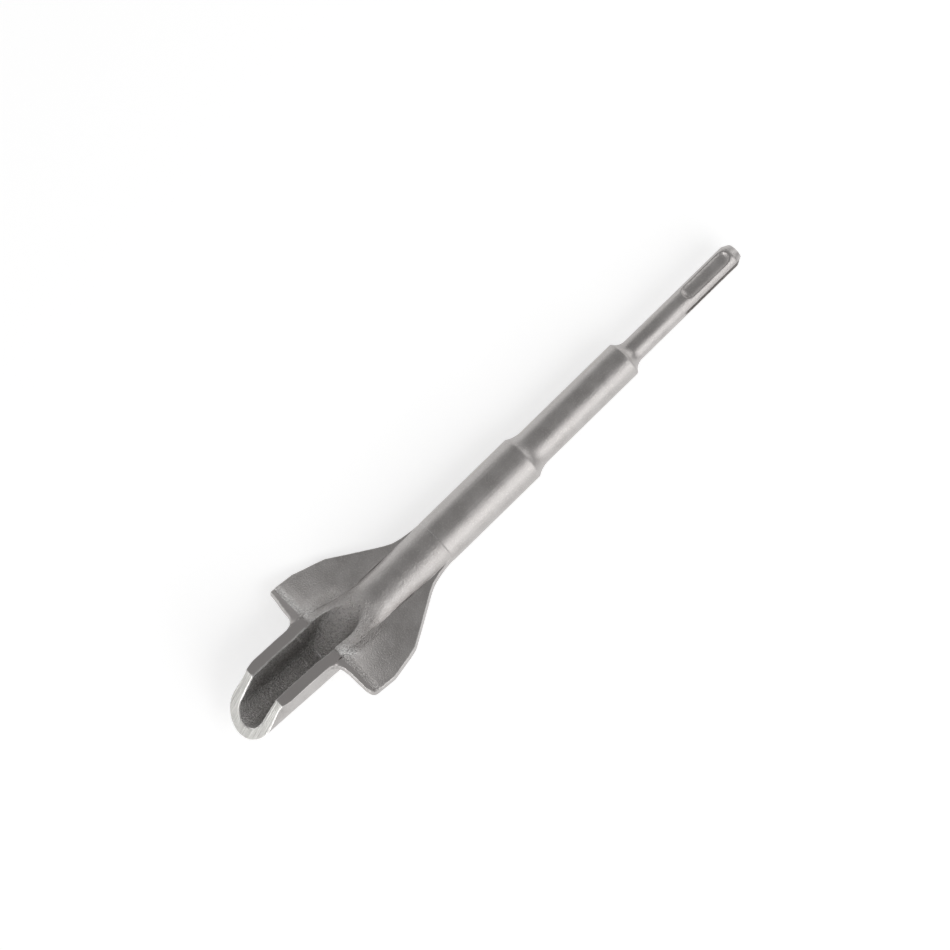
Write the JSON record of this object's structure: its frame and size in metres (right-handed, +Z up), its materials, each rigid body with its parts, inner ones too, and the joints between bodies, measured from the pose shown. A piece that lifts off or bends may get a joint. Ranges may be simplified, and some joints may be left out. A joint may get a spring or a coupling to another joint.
{
  "type": "winged channel chisel",
  "caption": "One-piece forged channel chisel for a rotary hammer: slotted round shank, stepped round body, raked U gouge and a wing on each side that limits depth.",
  "frame": {"origin": "on the shank axis, in the middle of the fully round stretch of the 10 mm shank, 230 mm behind the cutting edge", "axes": "+Y along the shank axis towards the driven end, +Z up as the tool lies at rest on the edge of its left wing and on its round body, rolled 23 degrees about Y, so the open side of the gouge leans to -X"},
  "size_m": [0.058, 0.2764, 0.0317],
  "materials": {
    "forged_steel": "satin blasted forged steel, ground at the cutting bevel and on the tops of the rails"
  },
  "bodies": {
    "root": {"channel_chisel": "forged_steel"}
  },
  "joints": []
}
